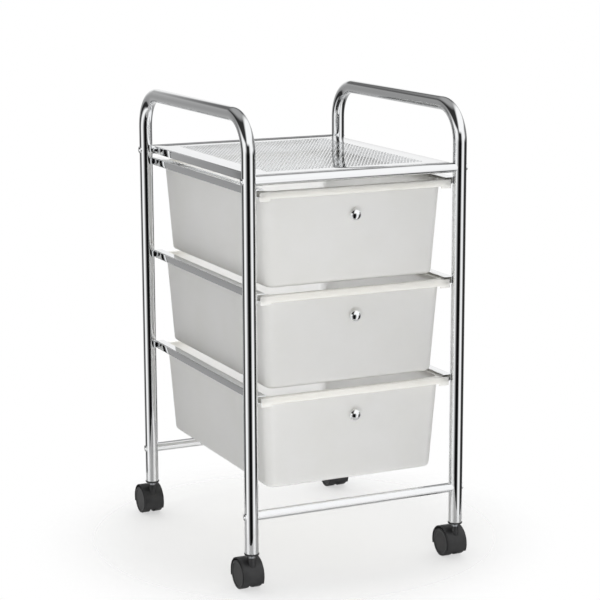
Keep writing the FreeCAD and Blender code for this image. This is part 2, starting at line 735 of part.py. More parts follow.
side_frame("left_side_frame", -1)
side_frame("right_side_frame", 1)
cross_bar("top_front_bar", -1, "top_bar_height")
cross_bar("top_back_bar", 1, "top_bar_height")
cross_bar("bottom_front_bar", -1, "bottom_bar_height")
cross_bar("bottom_back_bar", 1, "bottom_bar_height")
bar_inserts()
frame_screws()
top_shelf()

for level, level_name in enumerate(("upper", "middle", "lower")):
    drawer_rail(f"left_{level_name}_rail", -1, level)
    drawer_rail(f"right_{level_name}_rail", 1, level)
    drawer_tray(f"{level_name}_drawer_tray", level)
    drawer_knob(f"{level_name}_drawer_knob", level)
    knob_screw(f"{level_name}_knob_screw", level)

for end, end_name in ((-1, "front"), (1, "back")):
    for side, side_name in ((-1, "left"), (1, "right")):
        corner = f"{end_name}_{side_name}"
        leg_x = f"{side} * {LEG_X}"
        leg_y = f"{MIDDLE_Y} + {end} * {LEG_Y}"
        caster_socket(f"{corner}_caster_socket", leg_x, leg_y)
        caster_stem(f"{corner}_caster_stem", leg_x, leg_y)
        caster_hood(f"{corner}_caster_hood", leg_x, leg_y)
        caster_axle(f"{corner}_caster_axle", leg_x, leg_y)
        caster_wheel(f"{corner}_caster_wheel_left", leg_x, leg_y, "180 deg")
        caster_wheel(f"{corner}_caster_wheel_right", leg_x, leg_y, "0 deg")

doc.recompute()
for item in doc.Objects:
    if "Invalid" in item.State or "Error" in item.State:
        raise RuntimeError(f"{item.Label}: {item.State}")
for piece in pieces:
    if piece.Shape.isNull() or not piece.Shape.isValid():
        raise RuntimeError(f"{piece.Label} has no sound shape")

os.makedirs("parts", exist_ok=True)
for piece in pieces:
    piece.Shape.exportStep(f"parts/{piece.Label}.step")
print(f"{len(pieces)} sub-parts written")
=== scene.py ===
import math

import bmesh
import bpy
from mathutils import Matrix, Vector


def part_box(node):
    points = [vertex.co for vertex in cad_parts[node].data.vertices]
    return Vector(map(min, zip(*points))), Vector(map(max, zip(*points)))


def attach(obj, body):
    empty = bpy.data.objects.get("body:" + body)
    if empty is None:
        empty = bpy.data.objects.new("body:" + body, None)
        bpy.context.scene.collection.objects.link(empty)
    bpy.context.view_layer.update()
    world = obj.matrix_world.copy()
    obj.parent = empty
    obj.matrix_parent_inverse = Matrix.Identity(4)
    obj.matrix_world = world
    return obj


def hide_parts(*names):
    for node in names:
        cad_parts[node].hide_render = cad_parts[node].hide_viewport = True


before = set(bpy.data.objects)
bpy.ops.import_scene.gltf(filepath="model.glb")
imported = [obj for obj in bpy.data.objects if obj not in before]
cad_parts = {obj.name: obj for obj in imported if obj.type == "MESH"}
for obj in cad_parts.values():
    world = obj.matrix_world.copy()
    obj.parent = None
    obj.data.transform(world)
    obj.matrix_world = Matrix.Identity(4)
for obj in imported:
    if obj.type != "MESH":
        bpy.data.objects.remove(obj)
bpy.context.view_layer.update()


# Side frames: one length of steel tube each, bent to an upside-down U, polished and chrome plated.
# The straight runs are the legs, and the run across the top is the handle.

MM = 0.001
TUBE_SIDES = 48
HANDLE_BEND = 50 * MM  # on the tube's centre line
BEND_STEPS = 18
HAZE_PATCH = 14 * MM
POLISH_WAVE = 22 * MM


def linear(code):
    """The linear colour, with its alpha, of an sRGB hex code."""
    parts = [int(code[start:start + 2], 16) / 255 for start in (1, 3, 5)]
    return [part / 12.92 if part <= 0.04045 else ((part + 0.055) / 1.055) ** 2.4 for part in parts] + [1]


def add_node(tree, kind, settings, links):
    """Add a node. Settings are its properties or inputs; links feed its inputs from other nodes' outputs."""
    node = tree.nodes.new(kind)
    for name, setting in settings.items():
        if isinstance(name, str) and hasattr(node, name):
            setattr(node, name, setting)
        else:
            node.inputs[name].default_value = setting
    for name, output in links.items():
        tree.links.new(output, node.inputs[name])
    return node


def new_material(name):
    """A material without nodes, and its node tree."""
    material = bpy.data.materials.new(name)
    material.use_nodes = True
    material.node_tree.nodes.clear()
    return material, material.node_tree


# Chrome plate over polished steel: a clear, slightly cool mirror. The polishing wheel leaves it a little
# wavy, and handling leaves a thin haze that dulls it in places.
chrome, tree = new_material("chrome_plate_on_polished_steel")
where = add_node(tree, "ShaderNodeTexCoord", {}, {})
haze = add_node(
    tree, "ShaderNodeTexNoise", {"Scale": 1 / HAZE_PATCH, "Detail": 4, "Roughness": 0.6},
    {"Vector": where.outputs["Object"]},
)
dullness = add_node(
    tree, "ShaderNodeMapRange", {"From Min": 0.35, "From Max": 0.75, "To Min": 0.025, "To Max": 0.07},
    {"Value": haze.outputs["Fac"]},
)
wave = add_node(
    tree, "ShaderNodeTexNoise", {"Scale": 1 / POLISH_WAVE, "Detail": 1}, {"Vector": where.outputs["Object"]}
)
wavy = add_node(
    tree, "ShaderNodeBump", {"Strength": 0.25, "Distance": 0.03 * MM}, {"Height": wave.outputs["Fac"]}
)
surface = add_node(
    tree, "ShaderNodeBsdfPrincipled", {"Base Color": linear("#F7F8F9"), "Metallic": 1},
    {"Roughness": dullness.outputs["Result"], "Normal": wavy.outputs["Normal"]},
)
add_node(tree, "ShaderNodeOutputMaterial", {}, {"Surface": surface.outputs["BSDF"]})


def verts_of(parts):
    """The vertices among the parts that an operator returns."""
    return [part for part in parts if isinstance(part, bmesh.types.BMVert)]


def edges_between(bm, verts):
    """The edges that join these vertices to each other."""
    chosen = set(verts)
    return [edge for edge in bm.edges if edge.verts[0] in chosen and edge.verts[1] in chosen]


def draw_out(bm, edges, along):
    """Draw edges out along a straight line and return the edges at its end."""
    verts = verts_of(bmesh.ops.extrude_edge_only(bm, edges=edges)["geom"])
    bmesh.ops.translate(bm, verts=verts, vec=along)
    return edges_between(bm, verts)


def bend(bm, edges, centre, axis, degrees, steps):
    """Draw edges round a bend and return the edges at its end."""
    end = bmesh.ops.spin(
        bm, geom=edges, cent=centre, axis=axis, angle=math.radians(degrees), steps=steps, use_merge=False
    )["geom_last"]
    return [part for part in end if isinstance(part, bmesh.types.BMEdge)]


def add_piece(bm, name, material, body, nodes, crease=35):
    """Make a bmesh a piece of the cart that stands for CAD nodes of one body.

    Faces are shaded smooth, apart from edges that turn more than the crease, in degrees.
    """
    for face in bm.faces:
        face.smooth = True
    for edge in bm.edges:
        edge.smooth = len(edge.link_faces) == 2 and edge.calc_face_angle() < math.radians(crease)
    mesh = bpy.data.meshes.new(name)
    bm.to_mesh(mesh)
    bm.free()
    mesh.materials.append(material)
    piece = bpy.data.objects.new(name, mesh)
    bpy.context.scene.collection.objects.link(piece)
    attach(piece, body)
    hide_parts(*nodes)
    return piece


for side in ("left", "right"):
    low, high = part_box(f"{side}_side_frame")
    tube_radius = (high.x - low.x) / 2
    leg_x = (high.x + low.x) / 2
    front, back = low.y + tube_radius, high.y - tube_radius
    shoulder = high.z - tube_radius - HANDLE_BEND
    bm = bmesh.new()
    foot = Matrix.Translation((leg_x, front, low.z))
    bmesh.ops.create_circle(bm, cap_ends=False, segments=TUBE_SIDES, radius=tube_radius, matrix=foot)
    ring = draw_out(bm, bm.edges[:], (0, 0, shoulder - low.z))
    ring = bend(bm, ring, (leg_x, front + HANDLE_BEND, shoulder), (1, 0, 0), -90, BEND_STEPS)
    ring = draw_out(bm, ring, (0, back - front - 2 * HANDLE_BEND, 0))
    ring = bend(bm, ring, (leg_x, back - HANDLE_BEND, shoulder), (1, 0, 0), -90, BEND_STEPS)
    draw_out(bm, ring, (0, 0, low.z - shoulder))
    bmesh.ops.holes_fill(bm, edges=bm.edges[:], sides=TUBE_SIDES)
    bmesh.ops.recalc_face_normals(bm, faces=bm.faces[:])
    add_piece(bm, f"{side}_frame_tube", chrome, "frame", [f"{side}_side_frame"])


# Cross bars: four straight chromed tubes that hold the side frames apart. Their ends are coped,
# cut hollow to the round of the legs, so that they close tight against them.

BAR_SIDES = 36

low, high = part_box("right_side_frame")
tube_radius = (high.x - low.x) / 2
leg_x = (high.x + low.x) / 2
bar_ends = []

for bar in ("top_front_bar", "top_back_bar", "bottom_front_bar", "bottom_back_bar"):
    low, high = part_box(bar)
    bar_radius = (high.z - low.z) / 2
    bar_y, bar_z = (low.y + high.y) / 2, (low.z + high.z) / 2
    bm = bmesh.new()
    start = Matrix.Translation((-leg_x, bar_y, bar_z)) @ Matrix.Rotation(math.radians(90), 4, "Y")
    bmesh.ops.create_circle(bm, cap_ends=False, segments=BAR_SIDES, radius=bar_radius, matrix=start)
    draw_out(bm, bm.edges[:], (2 * leg_x, 0, 0))
    for vert in bm.verts:
        reach = leg_x - math.sqrt(tube_radius ** 2 - (vert.co.y - bar_y) ** 2)
        vert.co.x = math.copysign(reach, vert.co.x)
    bmesh.ops.recalc_face_normals(bm, faces=bm.faces[:])
    add_piece(bm, f"{bar}_tube", chrome, "frame", [bar])
    bar_ends += [Vector((end * (leg_x + tube_radius), bar_y, bar_z)) for end in (-1, 1)]


# Frame screws: chromed, domed heads on the outside of the legs, one for each end of each bar.
# Each has a turned step round its dome and is let into the round of the tube.

SCREW_HEAD = 5.0 * MM  # radius
SCREW_STEP = 3.6 * MM  # radius at the foot of the dome
SCREW_RISE = 0.7 * MM  # from the tube to the step
SCREW_DOME = 2.5 * MM  # from the tube to the top of the dome
SCREW_SINK = 1.6 * MM  # skirt that closes the gap to the round tube
SCREW_GROOVE = 0.4 * MM  # depth of the step
SCREW_SIDES = 28
DOME_RINGS = 4

bm = bmesh.new()
sunk = Matrix.Translation((0, 0, -SCREW_SINK))
bmesh.ops.create_circle(bm, cap_ends=True, segments=SCREW_SIDES, radius=SCREW_HEAD, matrix=sunk)
skirt = bmesh.ops.extrude_face_region(bm, geom=bm.faces[:])["geom"]
bmesh.ops.translate(bm, verts=verts_of(skirt), vec=(0, 0, SCREW_SINK + SCREW_RISE))
top = [part for part in skirt if isinstance(part, bmesh.types.BMFace)]
bmesh.ops.inset_region(bm, faces=top, thickness=SCREW_HEAD - SCREW_STEP, depth=-SCREW_GROOVE)
for _ in range(DOME_RINGS):
    bmesh.ops.inset_region(bm, faces=top, thickness=SCREW_STEP / (DOME_RINGS + 1), depth=0)
    for vert in {corner for face in top for corner in face.verts}:
        flat = (vert.co.xy.length / SCREW_STEP) ** 2
        vert.co.z = SCREW_DOME - (SCREW_DOME - SCREW_RISE + SCREW_GROOVE) * flat
screw = bm.verts[:] + bm.edges[:] + bm.faces[:]
for end in bar_ends:
    outward = Matrix.Rotation(math.radians(math.copysign(90, end.x)), 4, "Y")
    head = verts_of(bmesh.ops.duplicate(bm, geom=screw)["geom"])
    bmesh.ops.transform(bm, matrix=Matrix.Translation(end) @ outward, verts=head)
bmesh.ops.delete(bm, geom=verts_of(screw), context="VERTS")
bmesh.ops.recalc_face_normals(bm, faces=bm.faces[:])
add_piece(bm, "frame_screw_heads", chrome, "frame", ["frame_screws"])


# Shelf: thin steel sheet with its four edges turned down, chrome plated and welded between the top bars.
# A plain border runs round a field of small round holes, punched in staggered rows.

SHEET = 1.0 * MM
SHELF_CORNER = 4.0 * MM
SHELF_FOLD = 2.0 * MM
SHELF_STEPS = 4  # in each corner and fold
HOLE_RADIUS = 1.9 * MM
HOLE_SIDES = 8
HOLE_PITCH = 5.0 * MM
HOLE_CELL = HOLE_PITCH / math.sqrt(3)  # radius of the six-sided cell round each hole
ROW_PITCH = HOLE_PITCH * math.sqrt(3) / 2
HOLE_COLUMNS = 47
HOLE_ROWS = 71
FIELD_SHIFT = -3.5 * MM  # the field lies nearer the front edge
WELD = 0.01 * MM  # points closer than this are one
LEVEL = 0.99  # a face that looks up or down has more than this of its normal upright


def round_off(bm, parts, radius, steps, affect="EDGES"):
    """Round edges off, or corners where affect says so."""
    bmesh.ops.bevel(
        bm, geom=parts, offset=radius, offset_type="OFFSET", affect=affect, segments=steps, profile=0.5,
        material=-1,
    )


low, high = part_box("top_shelf")
shelf_middle = (low + high) / 2
bm = bmesh.new()

# The field: one cell with its hole, repeated along a row, and the row repeated to the back.
bmesh.ops.create_circle(bm, cap_ends=False, segments=6, radius=HOLE_CELL)
bmesh.ops.create_circle(bm, cap_ends=False, segments=HOLE_SIDES, radius=HOLE_RADIUS)
bmesh.ops.bridge_loops(bm, edges=bm.edges[:])
one_hole = bm.verts[:] + bm.edges[:] + bm.faces[:]
for column in range(1, HOLE_COLUMNS):
    verts = verts_of(bmesh.ops.duplicate(bm, geom=one_hole)["geom"])
    bmesh.ops.translate(bm, verts=verts, vec=(column * HOLE_PITCH, 0, 0))
one_row = bm.verts[:] + bm.edges[:] + bm.faces[:]
for row in range(1, HOLE_ROWS):
    verts = verts_of(bmesh.ops.duplicate(bm, geom=one_row)["geom"])
    bmesh.ops.translate(bm, verts=verts, vec=((row % 2) * HOLE_PITCH / 2, row * ROW_PITCH, 0))
bmesh.ops.remove_doubles(bm, verts=bm.verts[:], dist=WELD)
field = Vector(((HOLE_COLUMNS - 0.5) * HOLE_PITCH, (HOLE_ROWS - 1) * ROW_PITCH, 0)) / 2
field_corner = Vector((shelf_middle.x, shelf_middle.y + FIELD_SHIFT, high.z)) - field
bmesh.ops.translate(bm, verts=bm.verts[:], vec=field_corner)
field_edge = [edge for edge in bm.edges if edge.is_boundary and edge.calc_length() > HOLE_RADIUS]

# The plate: its corners are rounded, its edges drawn down and the folds rounded. Its middle then gives way
# to a border that joins it to the field.
corners = bmesh.ops.create_grid(bm, x_segments=1, y_segments=1, size=1)["verts"]
bmesh.ops.scale(bm, verts=corners, vec=((high.x - low.x) / 2, (high.y - low.y) / 2, 1))
bmesh.ops.translate(bm, verts=corners, vec=(shelf_middle.x, shelf_middle.y, high.z))
round_off(bm, corners, SHELF_CORNER, SHELF_STEPS, affect="VERTICES")
plate = max(bm.faces, key=lambda face: face.calc_area())
fold = plate.edges[:]
draw_out(bm, fold, (0, 0, low.z - high.z))
round_off(bm, fold, SHELF_FOLD, SHELF_STEPS)
level = [face for face in bm.faces if abs(face.normal.z) > LEVEL]
plate = max(level, key=lambda face: face.calc_area())
plate_edge = plate.edges[:]
bmesh.ops.delete(bm, geom=[plate], context="FACES_ONLY")
bmesh.ops.triangle_fill(bm, edges=field_edge + plate_edge, use_beauty=True)
bmesh.ops.recalc_face_normals(bm, faces=bm.faces[:])
bmesh.ops.solidify(bm, geom=bm.faces[:], thickness=SHEET)
add_piece(bm, "shelf_perforated_sheet", chrome, "frame", ["top_shelf"])


# Drawer rails: strips of steel sheet folded to a channel, chrome plated and welded to the inside of the legs.
# The channel's open side faces the drawer, whose rim runs inside it.

RAIL_SHEET = 1.2 * MM
RAIL_FOLD = 1.8 * MM
RAIL_STEPS = 5  # in each fold


def outline(bm, points):
    """A chain of edges through these points."""
    verts = [bm.verts.new(point) for point in points]
    return [bm.edges.new(pair) for pair in zip(verts, verts[1:])]


def face_outward(bm, face, outward):
    """Make the faces agree with each other, looking outward at this one."""
    bmesh.ops.recalc_face_normals(bm, faces=bm.faces[:])
    if face.normal.dot(outward) < 0:
        bmesh.ops.reverse_faces(bm, faces=bm.faces[:])


for level in ("upper", "middle", "lower"):
    for side in ("left", "right"):
        low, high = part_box(f"{side}_{level}_rail")
        open_x, back_x = (high.x, low.x) if side == "left" else (low.x, high.x)
        bm = bmesh.new()
        section = ((open_x, high.z), (back_x, high.z), (back_x, low.z), (open_x, low.z))
        draw_out(bm, outline(bm, [(x, low.y, z) for x, z in section]), (0, high.y - low.y, 0))
        round_off(bm, [edge for edge in bm.edges if len(edge.link_faces) == 2], RAIL_FOLD, RAIL_STEPS)
        web = min(bm.faces, key=lambda face: abs(face.calc_center_median().x - back_x))
        face_outward(bm, web, Vector((back_x - open_x, 0, 0)))
        bmesh.ops.solidify(bm, geom=bm.faces[:], thickness=RAIL_SHEET)
        add_piece(bm, f"{side}_{level}_rail_channel", chrome, "frame", [f"{side}_{level}_rail"])


# Drawers: injection-moulded trays, drawn in towards the foot, with a rim that hangs in the rails.
# An upright band with an ear at each end stiffens the front of the rim and stops against the rails.

WALL = 2.0 * MM
TAPER = 8.0 * MM
RIM_OVERHANG = 9.0 * MM  # past the side walls
RIM_FRONT = 8.0 * MM  # past the front and back walls
LIP_DROP = 5.8 * MM
BAND_HEIGHT = 9.0 * MM
BAND_THICKNESS = 2.3 * MM
BAND_GAP = 0.2 * MM  # between the rim's front edge and the band
BAND_EDGE = 0.5 * MM
BAND_STEPS = 2
EAR_WIDTH = 15.0 * MM
EAR_DROP = 3.0 * MM
WALL_CORNER = 13.0 * MM
CORNER_STEPS = 8
FOOT_ROUND = 6.0 * MM
FOOT_STEPS = 5
MILK_CLOUD = 70 * MM
BLASTED_GRAIN = 0.9 * MM

# Natural polypropylene, moulded in a finely blasted tool: milky, faintly see-through, with a soft satin
# sheen. The blasted grain is drawn at three times its real size, so that it shows.
frosted, tree = new_material("frosted_polypropylene")
where = add_node(tree, "ShaderNodeTexCoord", {}, {})
cloud = add_node(
    tree, "ShaderNodeTexNoise", {"Scale": 1 / MILK_CLOUD, "Detail": 2}, {"Vector": where.outputs["Object"]}
)
tint = add_node(tree, "ShaderNodeValToRGB", {}, {"Fac": cloud.outputs["Fac"]})
tint.color_ramp.elements[0].position = 0.3
tint.color_ramp.elements[0].color = linear("#F8F6ED")
tint.color_ramp.elements[1].position = 0.7
tint.color_ramp.elements[1].color = linear("#FCFAF3")
grain = add_node(
    tree, "ShaderNodeTexNoise", {"Scale": 1 / BLASTED_GRAIN, "Detail": 2}, {"Vector": where.outputs["Object"]}
)
satin = add_node(
    tree, "ShaderNodeMapRange", {"To Min": 0.38, "To Max": 0.52}, {"Value": grain.outputs["Fac"]}
)
blasted = add_node(
    tree, "ShaderNodeBump", {"Strength": 0.12, "Distance": 0.05 * MM}, {"Height": grain.outputs["Fac"]}
)
surface = add_node(
    tree, "ShaderNodeBsdfPrincipled",
    {"IOR": 1.49, "Subsurface Weight": 1, "Subsurface Scale": 15 * MM, "Subsurface Radius": (1, 1, 1)},
    {
        "Base Color": tint.outputs["Color"],
        "Roughness": satin.outputs["Result"],
        "Normal": blasted.outputs["Normal"],
    },
)
add_node(tree, "ShaderNodeOutputMaterial", {}, {"Surface": surface.outputs["BSDF"]})

# The same plastic in the band and its ears, given darker colours: painted shade that holds down the glow of
# light passing through the solid band.
band_painted_shade_copy = frosted.copy()
band_painted_shade_copy.name = "frosted_polypropylene_band_painted_shade"
for stop, code in zip(band_painted_shade_copy.node_tree.nodes[tint.name].color_ramp.elements, ("#CDCCC7", "#D2D1CD")):
    stop.color = linear(code)

for level in ("upper", "middle", "lower"):
    low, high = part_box(f"{level}_drawer_tray")
    middle = (low + high) / 2
    rim_under = high.z - WALL
    depth = rim_under - low.z
    wall_x = high.x - RIM_OVERHANG
    wall_y = (high.y - low.y) / 2 - RIM_FRONT

    # The walls and the foot: a box drawn in below, with rounded edges and an open top.
    bm = bmesh.new()
    bmesh.ops.create_cube(bm, size=2)
    bmesh.ops.scale(bm, verts=bm.verts[:], vec=(wall_x, wall_y, depth / 2))
    drawn_in = (1 - TAPER / wall_x, 1 - TAPER / wall_y, 1)
    bmesh.ops.scale(bm, verts=[vert for vert in bm.verts if vert.co.z < 0], vec=drawn_in)
    bmesh.ops.translate(bm, verts=bm.verts[:], vec=(middle.x, middle.y, low.z + depth / 2))
    uprights = [edge for edge in bm.edges if abs(edge.verts[0].co.z - edge.verts[1].co.z) > depth / 2]
    round_off(bm, uprights, WALL_CORNER, CORNER_STEPS)
    foot = [edge for edge in bm.edges if max(vert.co.z for vert in edge.verts) < low.z + WALL]
    round_off(bm, foot, FOOT_ROUND, FOOT_STEPS)
    top = max(bm.faces, key=lambda face: face.calc_center_median().z)
    mouth = top.edges[:]
    bmesh.ops.delete(bm, geom=[top], context="FACES_ONLY")

    # The rim: the mouth grown outwards, corner by corner, with a lip turned down at its sides and back.
    rim_edge = draw_out(bm, mouth, (0, 0, 0))
    for end_x in (-1, 1):
        for end_y, reach in ((-1, RIM_FRONT - BAND_THICKNESS - BAND_GAP), (1, RIM_FRONT)):
            grow = (1 + (RIM_OVERHANG - WALL) / WALL_CORNER, 1 + (reach - WALL) / WALL_CORNER, 1)
            pivot = Vector((end_x * (wall_x - WALL_CORNER), middle.y + end_y * (wall_y - WALL_CORNER), 0))
            turn = {
                vert for edge in rim_edge for vert in edge.verts
                if vert.co.x * end_x > 0 and (vert.co.y - middle.y) * end_y > 0
            }
            bmesh.ops.scale(bm, verts=list(turn), vec=grow, space=Matrix.Translation(-pivot))
    lipped = [edge for edge in rim_edge if min(vert.co.y for vert in edge.verts) > low.y + RIM_FRONT]
    draw_out(bm, lipped, (0, 0, WALL - LIP_DROP))
    bottom = min(bm.faces, key=lambda face: face.calc_center_median().z)
    face_outward(bm, bottom, Vector((0, 0, -1)))
    bmesh.ops.solidify(bm, geom=bm.faces[:], thickness=WALL)

    # The band with its ears, a solid strip in front of the rim.
    tray_faces = set(bm.faces)
    band_foot = high.z - BAND_HEIGHT
    ear_foot = band_foot - EAR_DROP
    ear_x = high.x - EAR_WIDTH
    front = bm.faces.new([bm.verts.new((x, low.y, z)) for x, z in (
        (-high.x, ear_foot), (-ear_x, ear_foot), (-ear_x, band_foot), (ear_x, band_foot),
        (ear_x, ear_foot), (high.x, ear_foot), (high.x, high.z), (-high.x, high.z),
    )])
    grown = bmesh.ops.extrude_face_region(bm, geom=[front])["geom"]
    bmesh.ops.translate(bm, verts=verts_of(grown), vec=(0, BAND_THICKNESS, 0))
    band = [face for face in bm.faces if face not in tray_faces]
    bmesh.ops.recalc_face_normals(bm, faces=band)
    # The band and its ears take the second material, the plastic's darker copy with painted shade.
    for face in band:
        face.material_index = 1
    round_off(bm, list({edge for face in band for edge in face.edges}), BAND_EDGE, BAND_STEPS)
    tray = add_piece(
        bm, f"{level}_tray_moulding", frosted, f"{level}_drawer", [f"{level}_drawer_tray"]
    )
    tray.data.materials.append(band_painted_shade_copy)


# Knobs: turned metal domes on a short neck, chrome plated. Each is held by a screw from inside the tray
# and stands square to the sloping front.

KNOB_RADIUS = 9.0 * MM
KNOB_NECK = 4.75 * MM  # radius
KNOB_NECK_LENGTH = 2.0 * MM
KNOB_SHOULDER = 5.0 * MM
KNOB_DOME = 6.0 * MM
KNOB_LENGTH = KNOB_SHOULDER + KNOB_DOME
KNOB_BALL = (KNOB_RADIUS ** 2 + KNOB_DOME ** 2) / (2 * KNOB_DOME)  # radius of the dome's ball
KNOB_STEPS = 10
KNOB_SIDES = 36


def turn_round(bm, centre, axis, steps):
    """Spin the outline that a bmesh holds once round an axis, and close the shape."""
    bmesh.ops.spin(
        bm, geom=bm.verts[:] + bm.edges[:], cent=centre, axis=axis, angle=math.tau, steps=steps, use_merge=True
    )
    bmesh.ops.remove_doubles(bm, verts=bm.verts[:], dist=WELD)
    bmesh.ops.recalc_face_normals(bm, faces=bm.faces[:])


for level in ("upper", "middle", "lower"):
    low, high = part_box(f"{level}_drawer_knob")
    tray_low, tray_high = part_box(f"{level}_drawer_tray")
    slope = math.atan(TAPER / (tray_high.z - tray_low.z))
    bm = bmesh.new()
    neck = outline(
        bm, ((KNOB_NECK, 0, 0), (KNOB_NECK, 0, KNOB_NECK_LENGTH), (KNOB_RADIUS, 0, KNOB_SHOULDER))
    )
    bmesh.ops.spin(
        bm, geom=[neck[-1].verts[1]], cent=(0, 0, KNOB_LENGTH - KNOB_BALL), axis=(0, 1, 0),
        angle=-math.asin(KNOB_RADIUS / KNOB_BALL), steps=KNOB_STEPS,
    )
    turn_round(bm, (0, 0, 0), (0, 0, 1), KNOB_SIDES)
    bmesh.ops.transform(bm, matrix=Matrix.Rotation(math.radians(90) + slope, 4, "X"), verts=bm.verts[:])
    front = min(vert.co.y for vert in bm.verts)
    heights = [vert.co.z for vert in bm.verts]
    seat_z = (low.z + high.z) / 2 - (min(heights) + max(heights)) / 2
    bmesh.ops.translate(bm, verts=bm.verts[:], vec=((low.x + high.x) / 2, low.y - front, seat_z))
    add_piece(
        bm, f"{level}_knob_dome", chrome, f"{level}_drawer", [f"{level}_drawer_knob"], crease=30
    )


# Casters: moulded black nylon. A socket with a collar plugs the end of each leg, and below it a hood turns
# on a steel stem and covers the upper half of two wheels.

WHEEL_RADIUS = 20.0 * MM
WHEEL_SIDES = 48
WHEEL_PROFILE = (  # mm: out from the middle of the caster, radius
    (3.4, 2.6), (3.4, 6), (11.9, 6.6), (11.9, 16), (3.4, 16.6), (3.4, 19.4), (4.0, 20), (14.1, 20),
    (14.9, 19.7), (15.3, 19), (15.3, 17), (15.0, 16.4), (14.5, 15.7), (14.5, 0),
)
COLLAR_SIDES = 36
COLLAR_PROFILE = (  # mm: radius, height
    (0, 50.8), (9.25, 50.8), (9.95, 51.1), (10.25, 51.8), (10.25, 53), (9.75, 53.5), (0, 53.5),
)
TRAIL = 15.0 * MM  # from the stem back to the axle
HOOD_HALF = 15.0 * MM  # half the hood's width
HOOD_RADIUS = 23.8 * MM
HOOD_WALL = 1.6 * MM
HOOD_BACK = 18.0  # degrees below level
HOOD_STEPS = 40
HOOD_RIM = 60  # degrees; only the rims of the hood turn more than this
HOOD_EDGE = 0.5 * MM
WEB_HALF = 3.0 * MM  # half the thickness of the web that holds the axle
BOSS_RADIUS = 5.25 * MM
BOSS_SIDES = 32
BOSS_EDGE = 0.5 * MM
BOSS_TOP = 46.3 * MM
EDGE_STEPS = 2
RUBBED_PATCH = 9 * MM
ERODED_GRAIN = 0.8 * MM

# Nylon, moulded black: deep grey with a low sheen. The spark-eroded tool leaves a fine grain, which is
# drawn coarser than it is, so that it shows.
nylon, tree = new_material("black_moulded_nylon")
where = add_node(tree, "ShaderNodeTexCoord", {}, {})
grain = add_node(
    tree, "ShaderNodeTexNoise", {"Scale": 1 / ERODED_GRAIN, "Detail": 2}, {"Vector": where.outputs["Object"]}
)
rub = add_node(
    tree, "ShaderNodeTexNoise", {"Scale": 1 / RUBBED_PATCH, "Detail": 3}, {"Vector": where.outputs["Object"]}
)
tint = add_node(tree, "ShaderNodeValToRGB", {}, {"Fac": rub.outputs["Fac"]})
tint.color_ramp.elements[0].position = 0.35
tint.color_ramp.elements[0].color = linear("#1F1F20")
tint.color_ramp.elements[1].position = 0.7
tint.color_ramp.elements[1].color = linear("#29292A")
sheen = add_node(
    tree, "ShaderNodeMapRange", {"To Min": 0.34, "To Max": 0.5}, {"Value": grain.outputs["Fac"]}
)
eroded = add_node(
    tree, "ShaderNodeBump", {"Strength": 0.2, "Distance": 0.05 * MM}, {"Height": grain.outputs["Fac"]}
)
surface = add_node(
    tree, "ShaderNodeBsdfPrincipled", {"IOR": 1.53},
    {
        "Base Color": tint.outputs["Color"],
        "Roughness": sheen.outputs["Result"],
        "Normal": eroded.outputs["Normal"],
    },
)
add_node(tree, "ShaderNodeOutputMaterial", {}, {"Surface": surface.outputs["BSDF"]})

